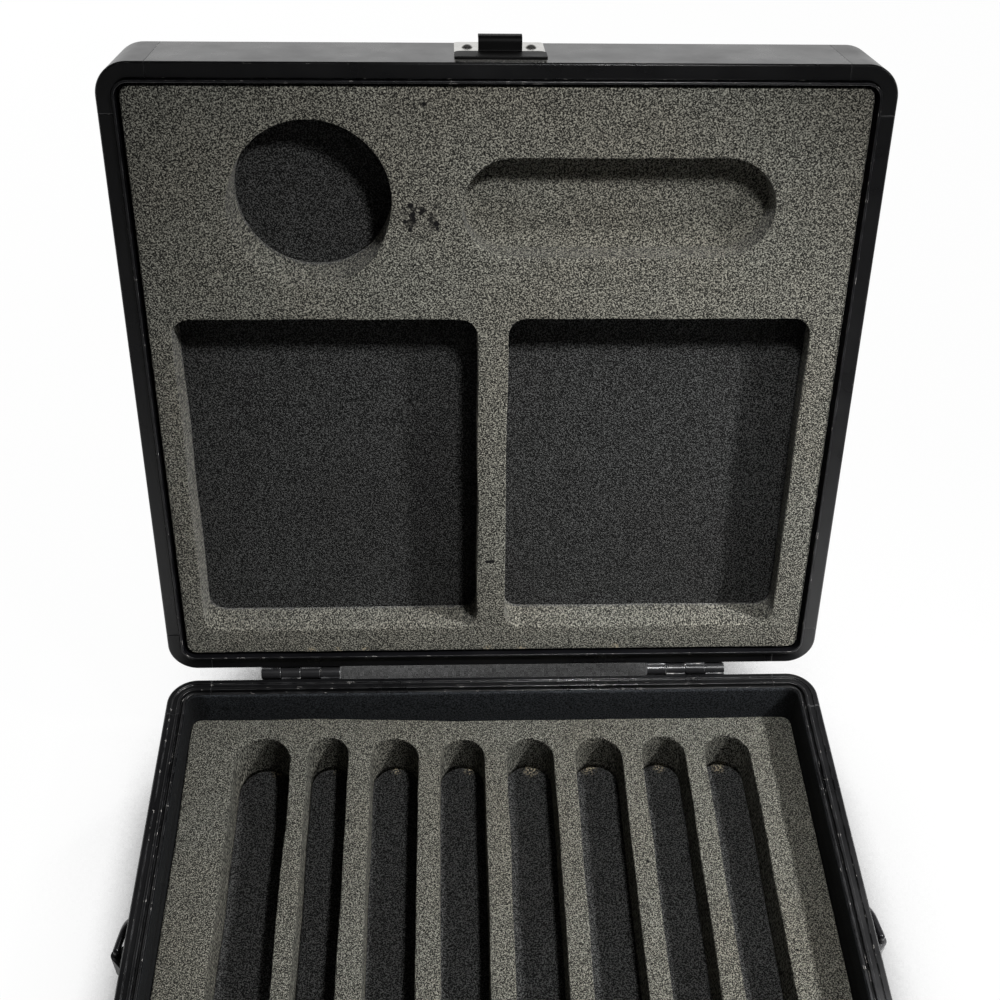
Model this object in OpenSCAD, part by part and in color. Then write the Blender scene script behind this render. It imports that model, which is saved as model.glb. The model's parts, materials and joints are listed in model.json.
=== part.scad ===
// Travel case with a hinged lid: foam slots for cigars in the base, foam pockets for their tools in the lid.
// Millimetres, +Z up, +Y towards the hinges, origin at the centre of the underside, lid drawn open.

/* [Case] */
// Width across the side walls
case_w = 330; // [290:1:420]
// Depth from the front wall to the hinge wall
case_d = 302; // [292:1:380]
// Height of the base
base_h = 60; // [58:1:110]
// Height of the lid
lid_h = 40; // [40:1:80]
// Outer radius of the upright corners
corner_r = 14; // [12:0.5:24]
// Straight length of a corner piece past its curve
corner_leg = 7; // [3:0.5:14]
// Opening angle at which the hinges stop the lid
open_angle = 104.5; // [92:0.5:115]

/* [Walls] */
// Thickness of the metal skin
skin_t = 1.4; // [0.8:0.1:1.8]
// Width of the rim
rim_w = 9.4; // [9.2:0.1:11]
// Height of the solid head under the rim
rim_head_h = 9; // [6:0.5:9.5]
// Width of the flange that holds the outer panel
flange_w = 6; // [4:0.5:8]
// Thickness of the outer panel's edge
panel_t = 3; // [2:0.1:3.4]
// Thickness of the cloth lining
lining_t = 0.8; // [0.4:0.1:0.9]
// Bevel along the outer edges
edge_bevel = 0.6; // [0.2:0.1:1]

/* [Rim] */
// Width of the base rim's outer ridge
ridge_w = 2.7; // [1.5:0.1:3]
// Width of the shallow groove in the base rim
groove_w = 2.6; // [1:0.1:2.8]
// Depth of the shallow groove in the base rim
groove_h = 0.9; // [0.4:0.1:2]
// Distance from the outer face to the tongue
tongue_in = 7; // [6.8:0.1:7.2]
// Thickness of the tongue
tongue_t = 1; // [0.6:0.1:1]
// Height of the tongue above the lid's rim
tongue_h = 2; // [1:0.1:3]
// Width of the small step beside the tongue
step_w = 0.5; // [0.3:0.1:1]

/* [Clearances] */
// Gap between the two rims when the case is shut
rim_gap = 0.3; // [0.2:0.1:0.6]
// Gap around boards, panels, linings and foam
fit_gap = 0.2; // [0.1:0.05:0.3]
// Gap between the tongue and the sides of its slot
tongue_gap = 0.4; // [0.2:0.05:0.4]
// Gap between moving pieces
move_gap = 0.3; // [0.2:0.05:0.4]
// Radial clearance of pins and rivets in their holes
pin_gap = 0.05; // [0.02:0.01:0.1]
// Hairline between rails and corner pieces
joint_gap = 0.15; // [0.05:0.05:0.4]

/* [Base foam] */
// Depth of the base foam's face under the rim
base_foam_drop = 24; // [16:1:26]
// Thickness of the dark foam under the slots
foam_floor_t = 5.6; // [3:0.1:12]
// Number of cigar slots
slot_count = 8; // [4:1:8]
// Distance from slot to slot
slot_pitch = 33.5; // [30:0.5:34]
// Width of a slot
slot_w = 23.5; // [16:0.5:26]
// Foam left between a slot's end and the wall
slot_margin = 12; // [8:1:40]
// Sideways offset of the row of slots
slot_shift = 2; // [0:0.5:3]

/* [Lid foam] */
// Thickness of the lid foam
lid_foam_t = 20; // [16:1:22]
// Foam beside the pair of large pockets
tray_side = 12.25; // [8:0.05:20]
// Corner radius of a large pocket
tray_r = 8; // [3:0.5:20]
// Foam between the two large pockets
tray_web = 13.9; // [8:0.1:16]
// Foam between the large pockets and the hinge wall
tray_margin = 14.2; // [10:0.1:15]
// Sideways offset of the pair of large pockets
tray_shift = -2.1; // [-3:0.1:0]
// Foam between the large pockets and the round pocket
pocket_gap = 19.6; // [8:0.1:30]
// Foam between the round pocket and the front wall
front_margin = 13.7; // [8:0.1:20]
// Diameter of the round pocket
round_d = 68.8; // [50:0.2:70]
// Round pocket's centre, sideways
round_x = -80.3; // [-90:0.1:-70]
// Length of the long pocket
long_l = 135.1; // [80:0.1:140]
// Width of the long pocket
long_w = 43.9; // [30:0.1:50]
// Depth of the long pocket
long_h = 17.5; // [8:0.5:18]
// Long pocket's centre, sideways
long_x = 51.5; // [45:0.1:60]
// Long pocket's centre, nearer the hinges than the round pocket's
long_back = 3.6; // [0:0.1:8]

/* [Hinges] */
// Length of a hinge
hinge_l = 40; // [30:1:60]
// Distance of a hinge from the middle
hinge_x = 99; // [60:1:110]
// Distance of the hinge axis behind the walls
hinge_out = 3.4; // [3.3:0.1:4]
// Radius of a knuckle
knuckle_r = 2.9; // [2.4:0.1:3]
// Radius of a hinge pin
pin_r = 1.5; // [1:0.1:1.8]
// Thickness of a hinge leaf
leaf_t = 1.2; // [0.8:0.1:1.3]
// Height of a hinge leaf
leaf_h = 18; // [16:1:24]
// Depth of the leaf's rivets under the rim
leaf_rivet_z = 12.5; // [12:0.5:13.5]
// Distance between the leaf's rivets
leaf_rivet_pitch = 13; // [10:0.5:14]
// Reach of the stop heel from the hinge axis
heel_r = 5.8; // [5:0.1:7]

/* [Latch] */
// Width of the latch plate and keeper plate
plate_w = 38; // [36:1:50]
// Thickness of the latch plate and keeper plate
plate_t = 1; // [0.8:0.1:1.2]
// Length of the latch plate
latch_plate_l = 38; // [36:1:42]
// Length of the keeper plate
keeper_plate_l = 35; // [31:1:37]
// Distance of both plates from the rim
plate_in = 1.2; // [0.5:0.1:2]
// Width of the lever
lever_w = 19; // [17:0.5:20]
// Length of the lever's face
lever_l = 27; // [22:1:27]
// Thickness of the lever's metal
lever_t = 1.5; // [1.2:0.1:1.6]
// Distance of the lever's axis from the wall
lever_out = 7.2; // [7:0.1:7.6]
// Depth of the lever's axis under the rim
lever_z = 10; // [9:0.5:12]
// Distance of the bail's axis from the wall with the lever down
bail_out = 4.8; // [4.6:0.1:5.2]
// Drop of the bail's axis under the lever's axis with the lever down
bail_drop = 5.5; // [5:0.1:6]
// Radius of the bail's wire
wire_r = 1.1; // [0.8:0.1:1.2]
// Turn of the lever from latched to thrown open
lever_turn = 150; // [120:1:155]
// Lean of the bail from upright when thrown open
bail_lean = 20; // [10:1:30]
// Width of the keeper's hook
hook_w = 18.2; // [14:0.1:18.4]
// Height of the keeper's hook above the wall
hook_out = 8; // [7.6:0.1:10]
// Length of the keeper's foot
foot_l = 11.3; // [9:0.1:12]
// Thickness of the keeper's metal
hook_t = 1.2; // [1:0.1:1.4]
// Length of the hook's lip
lip_l = 5.5; // [5:0.1:7]

/* [Strap rings] */
// Distance of the rings behind the middle of the side walls
strap_y = 8; // [-40:1:40]
// Depth of the rings' middle under the rim
strap_z = 20; // [18:1:24]
// Length of the bracket along the wall
bracket_l = 30; // [28:1:40]
// Height of the bracket
bracket_h = 14; // [10:0.5:15]
// Thickness of the bracket
bracket_t = 1.2; // [0.8:0.1:1.6]
// Distance of the ring's bar from the wall
bar_out = 5; // [4.6:0.1:6]
// Radius of the ring's wire
ring_r = 1.6; // [1.2:0.1:1.8]
// Width inside the ring
ring_w = 18; // [17.5:0.5:24]
// Straight length of the ring's legs
ring_leg = 8; // [6:0.5:14]

/* [Rivets] */
// Radius of a rivet's shank
rivet_r = 1.5; // [1:0.1:1.6]
// Radius of a rivet's head
rivet_head_r = 2.7; // [2.2:0.1:3]
// Height of a rivet's head
rivet_head_h = 1.3; // [0.8:0.1:1.5]
// Depth of a rivet's shank in the board
rivet_bite = 3; // [2:0.5:5]

/* [Hidden] */
$fn = 64;
eps = 0.01;

// Walls
rail_inset = corner_r + corner_leg + joint_gap;
board_in = skin_t + fit_gap;
board_out = rim_w - fit_gap - lining_t;
lining_in = board_out + lining_t;
foam_in = rim_w + fit_gap / 2;
foam_w = case_w - 2 * foam_in;
foam_d = case_d - 2 * foam_in;
panel_full_t = panel_t + skin_t;
base_floor_z = base_h - panel_full_t;
lid_floor_z = lid_h - panel_full_t;
groove_end = ridge_w + groove_w;
slot_in = tongue_in - tongue_gap;
slot_out = tongue_in + tongue_t + tongue_gap;
tongue_room_h = tongue_h + move_gap * 2;

// Foam
base_foam_t = base_floor_z - base_foam_drop - foam_floor_t;
slot_l = foam_d - 2 * slot_margin;
tray_w = (foam_w - 2 * tray_side - tray_web) / 2;
tray_l = foam_d - tray_margin - pocket_gap - round_d - front_margin;
round_in = foam_d - front_margin - round_d / 2;
long_in = round_in - long_back;

// Hinges
axis_z = rim_gap / 2;
axis_y = case_d / 2 + hinge_out;
knuckle_count = 4;
knuckle_l = (hinge_l - (knuckle_count - 1) * move_gap) / knuckle_count;
knuckle_step = knuckle_l + move_gap;
root_z = knuckle_r + move_gap * 2;
stop_gap = 0.2;

// Latch, as distance out from the front wall and height above the rim
lever_axis = [lever_out, -lever_z];
bail_axis = [bail_out, -lever_z - bail_drop];
catch_z = plate_in + foot_l + hook_t + wire_r + move_gap;
catch_axis = [(plate_t + hook_out - hook_t) / 2 + 0.3, catch_z + rim_gap];
bail_l = norm(catch_axis - bail_axis);
bail_open_turn = 180 - bail_lean;
bail_x = lever_w / 2 + move_gap + wire_r;
ear_x = lever_w / 2 - lever_t - move_gap;
ear_t = 1.5;
ear_r = pin_r + 1.2;
face_out = lever_out + ear_r + move_gap;
face_top = -lever_z - ear_r - 0.7;
pin_cheek_r = pin_r + 1.7;
bail_cheek_r = wire_r + 1.1;
cheek_drop = 5;
lever_tip = 3;
lever_round = 0.8;
latch_rivet_x = 14.5;
latch_rivet_z = [14, 34];
keeper_rivet_x = 13.5;
keeper_rivet_z = 26;
plate_r = 2;

// Strap rings
ring_half = ring_w / 2 + ring_r;
ring_reach = ring_leg + ring_half;
ring_lean = asin((bar_out - ring_r - move_gap) / ring_reach);
boss_r = ring_r + 1.5;
boss_nose = [boss_r * 0.6, bar_out + boss_r * 0.8];
boss_h = ring_w - 4;
bracket_rivet_y = bracket_l / 2 - rivet_head_r - 1;

// Places a half of the case that is drawn with its rim at z = 0 and its depth below
module place_base() {
    translate([0, 0, base_h]) children();
}

module place_lid() {
    translate([0, axis_y, base_h + axis_z])
        rotate([-open_angle, 0, 0])
            translate([0, -axis_y, rim_gap - axis_z])
                mirror([0, 0, 1]) children();
}

// Carries what is drawn on a wall with its face at y = 0 to side 0 front, 1 right, 2 back or 3 left
module on_wall(side) {
    setback = side % 2 == 0 ? case_d / 2 : case_w / 2;
    rotate([0, 0, 90 * side]) translate([0, -setback, 0]) children();
}

// Turns a flat drawing of distance in from the wall and height into a bar along the wall
module along_wall(length) {
    rotate([90, 0, 90]) linear_extrude(length) children();
}

function wall_length(side) = (side % 2 == 0 ? case_w : case_d) - 2 * rail_inset;

// Flat shapes with true arcs
module rounded_rect(w, d, r) {
    square([w - 2 * r, d], center = true);
    square([w, d - 2 * r], center = true);
    for (x = [-1, 1], y = [-1, 1])
        translate([x * (w / 2 - r), y * (d / 2 - r)]) circle(r);
}

module stadium(l, w) {
    square([l - w, w], center = true);
    for (x = [-1, 1])
        translate([x * (l - w) / 2, 0]) circle(w / 2);
}

// The case's outline, drawn in from its outer faces
module outline(inset) {
    rounded_rect(case_w - 2 * inset, case_d - 2 * inset, corner_r - inset);
}

// Cross-sections of the walls, as distance in from the outer face and height
function base_head() = [
    [0, -edge_bevel], [edge_bevel, 0], [ridge_w, 0], [ridge_w, -groove_h], [groove_end, -groove_h],
    [groove_end, 0], [slot_in, 0], [slot_in, -tongue_room_h], [slot_out, -tongue_room_h], [slot_out, 0],
    [rim_w, 0], [rim_w, -rim_head_h]
];

function lid_head() = [
    [0, -edge_bevel], [edge_bevel, 0], [tongue_in - step_w, 0], [tongue_in - step_w, -edge_bevel * 2],
    [tongue_in, -edge_bevel * 2], [tongue_in, -rim_head_h]
];

function flange(h) = [
    [skin_t, skin_t - h], [flange_w, skin_t - h], [flange_w, -h], [edge_bevel, -h], [0, edge_bevel - h]
];

function rail_section(head, h) = concat(head, [[skin_t, -rim_head_h]], flange(h));

function corner_section(head, h) = concat(
    head, [[board_out, -rim_head_h], [board_out, panel_full_t - h], [skin_t, panel_full_t - h]], flange(h)
);

// Rivets of one wall, as [place along the wall, height]
function hinge_rivets() = [
    for (x = [-hinge_x, hinge_x], i = [-1, 0, 1]) [x + i * leaf_rivet_pitch, -leaf_rivet_z]
];

function latch_rivets_at() = [for (x = [-1, 1], z = latch_rivet_z) [x * latch_rivet_x, -z]];

function keeper_rivets_at() = [for (x = [-1, 1]) [x * keeper_rivet_x, -keeper_rivet_z]];

function strap_rivets_at(side) = [
    for (i = [-1, 1]) [(side == 1 ? strap_y : -strap_y) + i * bracket_rivet_y, -strap_z]
];

function base_rivets(side) =
    side == 0 ? latch_rivets_at() : side == 2 ? hinge_rivets() : strap_rivets_at(side);

function lid_rivets(side) = side == 0 ? keeper_rivets_at() : side == 2 ? hinge_rivets() : [];

module rivet_holes(points) {
    for (p = points)
        translate([p[0], -hook_out, p[1]])
            rotate([-90, 0, 0])
                cylinder(r = rivet_r + pin_gap, h = hook_out + board_in + rivet_bite + fit_gap);
}

module rivets(points, under) {
    dome_r = (rivet_head_r * rivet_head_r + rivet_head_h * rivet_head_h) / (2 * rivet_head_h);
    for (p = points)
        translate([p[0], -under, p[1]]) {
            rotate([-90, 0, 0]) cylinder(r = rivet_r, h = under + board_in + rivet_bite);
            intersection() {
                translate([0, dome_r - rivet_head_h, 0]) sphere(dome_r);
                translate([-rivet_head_r, -rivet_head_h, -rivet_head_r])
                    cube([2 * rivet_head_r, rivet_head_h, 2 * rivet_head_r]);
            }
        }
}

// Walls
module rail(side, section, holes) {
    color("#1b1c1f") difference() {
        on_wall(side)
            translate([-wall_length(side) / 2, 0, 0]) along_wall(wall_length(side)) polygon(section);
        on_wall(side) rivet_holes(holes);
    }
}

module corner_piece(quarter, section) {
    side_x = quarter < 2 ? 1 : -1;
    side_y = quarter == 1 || quarter == 2 ? 1 : -1;
    color("#17181a")
        translate([side_x * (case_w / 2 - corner_r), side_y * (case_d / 2 - corner_r), 0])
            rotate([0, 0, 90 * quarter]) {
                rotate([0, 0, -90]) rotate_extrude(angle = 90)
                    polygon([for (p = section) [corner_r - p[0], p[1]]]);
                for (leg = [[0, -corner_leg], [90, -eps]])
                    rotate([0, 0, leg[0]]) translate([leg[1], -corner_r, 0])
                        along_wall(corner_leg + eps) polygon(section);
            }
}

module board(side, h, holes) {
    z_low = panel_full_t - h + fit_gap;
    color("#8a6b48") difference() {
        on_wall(side)
            translate([-wall_length(side) / 2, board_in, z_low])
                cube([wall_length(side), board_out - board_in, -rim_head_h - fit_gap - z_low]);
        on_wall(side) rivet_holes(holes);
    }
}

module panel(h) {
    color("#202124") {
        translate([0, 0, skin_t - h]) linear_extrude(panel_t) outline(board_in);
        translate([0, 0, -h]) linear_extrude(skin_t + eps) outline(flange_w + fit_gap);
    }
}

module lining(h) {
    color("#15161c")
        translate([0, 0, panel_full_t - h + fit_gap])
            linear_extrude(h - panel_full_t - rim_head_h - 2 * fit_gap) difference() {
                outline(board_out);
                outline(lining_in);
            }
}

module tongue_frame() {
    color("#202125")
        translate([0, 0, -rim_head_h])
            linear_extrude(rim_head_h + tongue_h) difference() {
                outline(tongue_in);
                outline(tongue_in + tongue_t);
            }
}

// Each half's own walls
module base_rail(side) {
    place_base() rail(side, rail_section(base_head(), base_h), base_rivets(side));
}

module base_corner(quarter) {
    place_base() corner_piece(quarter, corner_section(base_head(), base_h));
}

module base_board(side) {
    place_base() board(side, base_h, base_rivets(side));
}

module lid_rail(side) {
    place_lid() rail(side, rail_section(lid_head(), lid_h), lid_rivets(side));
}

module lid_corner(quarter) {
    place_lid() corner_piece(quarter, corner_section(lid_head(), lid_h));
}

module lid_board(side) {
    place_lid() board(side, lid_h, lid_rivets(side));
}

// Foam
module foam_sheet(top, t) {
    translate([0, 0, top - t]) linear_extrude(t) outline(foam_in);
}

module slot_row() {
    for (i = [0 : slot_count - 1])
        translate([(i - (slot_count - 1) / 2) * slot_pitch + slot_shift, 0])
            rotate(90) stadium(slot_l, slot_w);
}

module base_foam_insert() {
    color("#6b6a63") translate([0, 0, -base_foam_drop - base_foam_t])
        linear_extrude(base_foam_t) difference() {
            outline(foam_in);
            slot_row();
        }
}

module base_foam_floor() {
    color("#2b2b2d") foam_sheet(foam_floor_t - base_floor_z, foam_floor_t);
}

module tray_outlines() {
    y = foam_d / 2 - tray_margin - tray_l / 2;
    for (side = [-1, 1])
        translate([tray_shift + side * (tray_w + tray_web) / 2, y]) rounded_rect(tray_w, tray_l, tray_r);
}

module lid_foam_insert() {
    color("#6b6a63") difference() {
        translate([0, 0, -lid_foam_t]) linear_extrude(lid_foam_t) difference() {
            outline(foam_in);
            tray_outlines();
            translate([round_x, foam_d / 2 - round_in]) circle(round_d / 2);
        }
        translate([long_x, foam_d / 2 - long_in, -long_h]) linear_extrude(long_h + 1) stadium(long_l, long_w);
    }
}

module lid_foam_backing() {
    color("#2b2b2d") foam_sheet(-lid_foam_t, lid_floor_z - lid_foam_t);
}

// Hinges, drawn about the hinge axis with the wall's face at y = -hinge_out
module hinge_leaf(x, first) {
    heel_turn = 90 - open_angle / 2;
    heel_face = [sin(heel_turn), -cos(heel_turn)];
    heel_side = [-heel_face[1], heel_face[0]] * -stop_gap / 2;
    heel_low = root_z + heel_r - knuckle_r;
    color("#1f2023") translate([x, axis_y, axis_z]) difference() {
        union() {
            translate([-hinge_l / 2, -hinge_out, -leaf_h]) cube([hinge_l, leaf_t, leaf_h - root_z]);
            for (i = [first, first + 2])
                translate([i * knuckle_step - hinge_l / 2, 0, 0]) {
                    rotate([0, 90, 0]) cylinder(r = knuckle_r, h = knuckle_l);
                    translate([0, -hinge_out, -root_z - eps]) cube([knuckle_l, leaf_t, root_z + eps]);
                }
            translate([-hinge_l / 2, 0, 0]) along_wall(hinge_l) polygon([
                [leaf_t - hinge_out - eps, -root_z - move_gap],
                heel_face * root_z + heel_side,
                heel_face * heel_r + heel_side,
                [leaf_t - hinge_out - eps, -heel_low]
            ]);
        }
        translate([-hinge_l, 0, 0]) rotate([0, 90, 0]) cylinder(r = pin_r + pin_gap, h = 2 * hinge_l);
        for (i = [-1, 0, 1])
            translate([i * leaf_rivet_pitch, 0, -leaf_rivet_z - axis_z])
                rotate([90, 0, 0]) cylinder(r = rivet_r + pin_gap, h = 2 * hinge_out);
    }
}

module hinge_pin(x) {
    color("#8d8f92") translate([x - hinge_l / 2, axis_y, axis_z])
        rotate([0, 90, 0]) cylinder(r = pin_r, h = hinge_l);
}

module hinge_rivet_set() {
    color("#8d8f92") on_wall(2) rivets(hinge_rivets(), leaf_t);
}

// Latch and keeper, drawn with distance out from the wall along -y
function out_up(p) = [0, -case_d / 2 - p[0], p[1]];

module side_plate(thickness) {
    rotate([90, 0, 90]) translate([0, 0, -thickness / 2]) linear_extrude(thickness) children();
}

module plate_sheet(l) {
    translate([0, 0, -plate_in - l / 2]) rotate([90, 0, 0])
        linear_extrude(plate_t) rounded_rect(plate_w, l, plate_r);
}

module latch_plate() {
    color("#c9cac6") difference() {
        union() {
            on_wall(0) plate_sheet(latch_plate_l);
            for (x = [-1, 1])
                translate([x * (ear_x - ear_t / 2), 0, 0] + out_up([0, 0])) side_plate(ear_t) {
                    translate([-lever_out, -lever_z]) circle(ear_r);
                    translate([-lever_out, -lever_z - ear_r]) square([lever_out - plate_t + eps, 2 * ear_r]);
                }
        }
        translate(out_up(lever_axis)) rotate([0, 90, 0])
            cylinder(r = pin_r + pin_gap, h = plate_w, center = true);
        on_wall(0) rivet_holes(latch_rivets_at());
    }
}

module latch_rivets() {
    color("#c9cac6") on_wall(0) rivets(latch_rivets_at(), plate_t);
}

module latch_pin() {
    color("#8d8f92") translate(out_up(lever_axis)) rotate([0, 90, 0])
        cylinder(r = pin_r, h = lever_w, center = true);
}

// The lever as it stands when latched
module lever_down() {
    face_low = face_top - lever_l;
    cheek_x = lever_w / 2 - lever_t / 2;
    back_out = face_out + lever_t;
    difference() {
        union() {
            translate([0, -case_d / 2, 0]) side_plate(lever_w) polygon([
                [-face_out, face_top], [-face_out, face_low + lever_tip],
                [-face_out - lever_tip, face_low], [-back_out - lever_tip, face_low + lever_round],
                [-back_out, face_low + lever_tip + lever_round],
                [-back_out, face_top - lever_round], [-back_out + lever_round, face_top]
            ]);
            for (x = [-1, 1])
                translate([x * cheek_x, -case_d / 2, 0]) side_plate(lever_t) hull() {
                    translate([-lever_out, -lever_z]) circle(pin_cheek_r, $fn = 32);
                    translate([-bail_axis[0], bail_axis[1]]) circle(bail_cheek_r, $fn = 32);
                    translate([-face_out - eps, bail_axis[1] - cheek_drop])
                        square([eps, face_top - bail_axis[1] + cheek_drop]);
                }
        }
        for (p = [[lever_axis, pin_r], [bail_axis, wire_r]])
            translate(out_up(p[0])) rotate([0, 90, 0])
                cylinder(r = p[1] + pin_gap, h = plate_w, center = true);
    }
}

module turn_about(axis, turn) {
    translate(out_up(axis)) rotate([-turn, 0, 0]) translate(-out_up(axis)) children();
}

module latch_lever() {
    color("#19191b") turn_about(lever_axis, lever_turn) lever_down();
}

// The bail, drawn hanging straight down from its own axis at the origin
module bail_wire() {
    stub_l = wire_r + move_gap + lever_t;
    for (x = [-1, 1]) {
        translate([x * bail_x, 0, -bail_l]) cylinder(r = wire_r, h = bail_l);
        translate([x * (bail_x - stub_l / 2), 0, 0]) rotate([0, 90, 0])
            cylinder(r = wire_r, h = stub_l, center = true);
        for (z = [0, -bail_l])
            translate([x * bail_x, 0, z]) sphere(wire_r);
    }
    translate([0, 0, -bail_l]) rotate([0, 90, 0]) cylinder(r = wire_r, h = 2 * bail_x, center = true);
}

function turned(p, turn) = [p[0] * cos(turn) - p[1] * sin(turn), p[0] * sin(turn) + p[1] * cos(turn)];

bail_axis_open = lever_axis + turned(bail_axis - lever_axis, lever_turn);

module latch_bail() {
    color("#c9cac6") translate(out_up(bail_axis_open)) rotate([-bail_open_turn, 0, 0]) bail_wire();
}

module keeper_plate() {
    color("#c9cac6") difference() {
        on_wall(0) plate_sheet(keeper_plate_l);
        on_wall(0) rivet_holes(keeper_rivets_at());
    }
}

module keeper_rivets() {
    color("#c9cac6") on_wall(0) rivets(keeper_rivets_at(), plate_t);
}

module keeper_hook() {
    bend = 2 * hook_t;
    foot_end = -plate_in - foot_l;
    foot_r = 3;
    color("#141415") translate([0, -case_d / 2 - plate_t, 0]) {
        rotate([90, 0, 0]) linear_extrude(hook_t) {
            translate([-plate_w / 2, foot_end + foot_r]) square([plate_w, foot_l - foot_r]);
            translate([-plate_w / 2 + foot_r, foot_end]) square([plate_w - 2 * foot_r, foot_r + eps]);
            for (x = [-1, 1])
                translate([x * (plate_w / 2 - foot_r), foot_end + foot_r]) circle(foot_r);
        }
        translate([0, plate_t, 0]) side_plate(hook_w) difference() {
            translate([-hook_out, foot_end - lip_l]) square([hook_out - plate_t, lip_l + eps]);
            translate([-hook_out + hook_t, foot_end - lip_l - eps]) square([hook_out, lip_l - hook_t + eps]);
            difference() {
                translate([-hook_out - eps, foot_end - bend + eps]) square(bend);
                translate([-hook_out + bend, foot_end - bend + eps]) circle(bend);
            }
        }
    }
}

// Strap brackets and rings, drawn on the front wall with the ring's bar at the origin
module bracket() {
    slope_front = bracket_rivet_y - rivet_head_r - move_gap;
    slope_back = slope_front - 3;
    difference() {
        union() {
            translate([0, -bracket_t / 2, 0]) rotate([90, 0, 0])
                linear_extrude(bracket_t, center = true) rounded_rect(bracket_l, bracket_h, plate_r);
            translate([0, 0, -boss_h / 2]) linear_extrude(boss_h) {
                translate([0, -bar_out]) circle(boss_r);
                polygon([
                    [-slope_front, -bracket_t + eps], [-boss_nose[0], -boss_nose[1]],
                    [boss_nose[0], -boss_nose[1]], [slope_back, -bracket_t + eps]
                ]);
            }
        }
        translate([0, -bar_out, 0]) cylinder(r = ring_r + pin_gap, h = bracket_h * 2, center = true);
        rivet_holes([for (i = [-1, 1]) [i * bracket_rivet_y, 0]]);
    }
}

module ring() {
    for (z = [-1, 1]) {
        translate([0, 0, z * ring_half]) rotate([0, 90, 0]) cylinder(r = ring_r, h = ring_leg);
        translate([0, 0, z * ring_half]) sphere(ring_r);
    }
    cylinder(r = ring_r, h = 2 * ring_half, center = true);
    translate([ring_leg, 0, 0]) rotate([90, 0, 0]) rotate([0, 0, -90])
        rotate_extrude(angle = 180) translate([ring_half, 0]) circle(ring_r);
}

// The left wall's drawing is mirrored, so that both rings lie to the back
module at_strap(side) {
    on_wall(side) mirror([side == 3 ? 1 : 0, 0, 0]) translate([strap_y, 0, -strap_z]) children();
}

module strap_bracket(side) {
    color("#2a2a2c") at_strap(side) bracket();
}

module strap_ring(side) {
    color("#161617") at_strap(side) translate([0, -bar_out, 0]) rotate([0, 0, ring_lean]) ring();
}

module strap_rivets() {
    for (side = [1, 3])
        color("#c9cac6") on_wall(side) rivets(strap_rivets_at(side), bracket_t);
}

// Base
base_rail(0);  // base_rail_front
base_rail(1);  // base_rail_right
base_rail(2);  // base_rail_back
base_rail(3);  // base_rail_left
base_corner(0);  // base_corner_front_right
base_corner(1);  // base_corner_back_right
base_corner(2);  // base_corner_back_left
base_corner(3);  // base_corner_front_left
base_board(0);  // base_board_front
base_board(1);  // base_board_right
base_board(2);  // base_board_back
base_board(3);  // base_board_left
place_base() panel(base_h);  // base_panel
place_base() lining(base_h);  // base_lining
place_base() base_foam_insert();
place_base() base_foam_floor();

// Lid
lid_rail(0);  // lid_rail_front
lid_rail(1);  // lid_rail_right
lid_rail(2);  // lid_rail_back
lid_rail(3);  // lid_rail_left
lid_corner(0);  // lid_corner_front_right
lid_corner(1);  // lid_corner_back_right
lid_corner(2);  // lid_corner_back_left
lid_corner(3);  // lid_corner_front_left
lid_board(0);  // lid_board_front
lid_board(1);  // lid_board_right
lid_board(2);  // lid_board_back
lid_board(3);  // lid_board_left
place_lid() panel(lid_h);  // lid_panel
place_lid() lining(lid_h);  // lid_lining
place_lid() tongue_frame();  // lid_tongue_frame
place_lid() lid_foam_insert();
place_lid() lid_foam_backing();

// Hinges
place_base() hinge_leaf(-hinge_x, 1);  // hinge_left_base_leaf
place_base() hinge_leaf(hinge_x, 1);  // hinge_right_base_leaf
place_lid() hinge_leaf(-hinge_x, 0);  // hinge_left_lid_leaf
place_lid() hinge_leaf(hinge_x, 0);  // hinge_right_lid_leaf
place_base() hinge_pin(-hinge_x);  // hinge_left_pin
place_base() hinge_pin(hinge_x);  // hinge_right_pin
place_base() hinge_rivet_set();  // hinge_base_rivets
place_lid() hinge_rivet_set();  // hinge_lid_rivets

// Latch
place_base() latch_plate();
place_base() latch_rivets();
place_base() latch_pin();
place_base() latch_lever();
place_base() latch_bail();
place_lid() keeper_plate();
place_lid() keeper_hook();
place_lid() keeper_rivets();

// Strap rings
place_base() strap_bracket(3);  // strap_bracket_left
place_base() strap_bracket(1);  // strap_bracket_right
place_base() strap_rivets();
place_base() strap_ring(3);  // strap_ring_left
place_base() strap_ring(1);  // strap_ring_right
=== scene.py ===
"""Looks of a travel humidor: foam, lining and finishes built around its packed metal, wood and panels."""

import json
import math

import bmesh
import bpy
from mathutils import Euler, Matrix, Vector, geometry, noise


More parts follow.
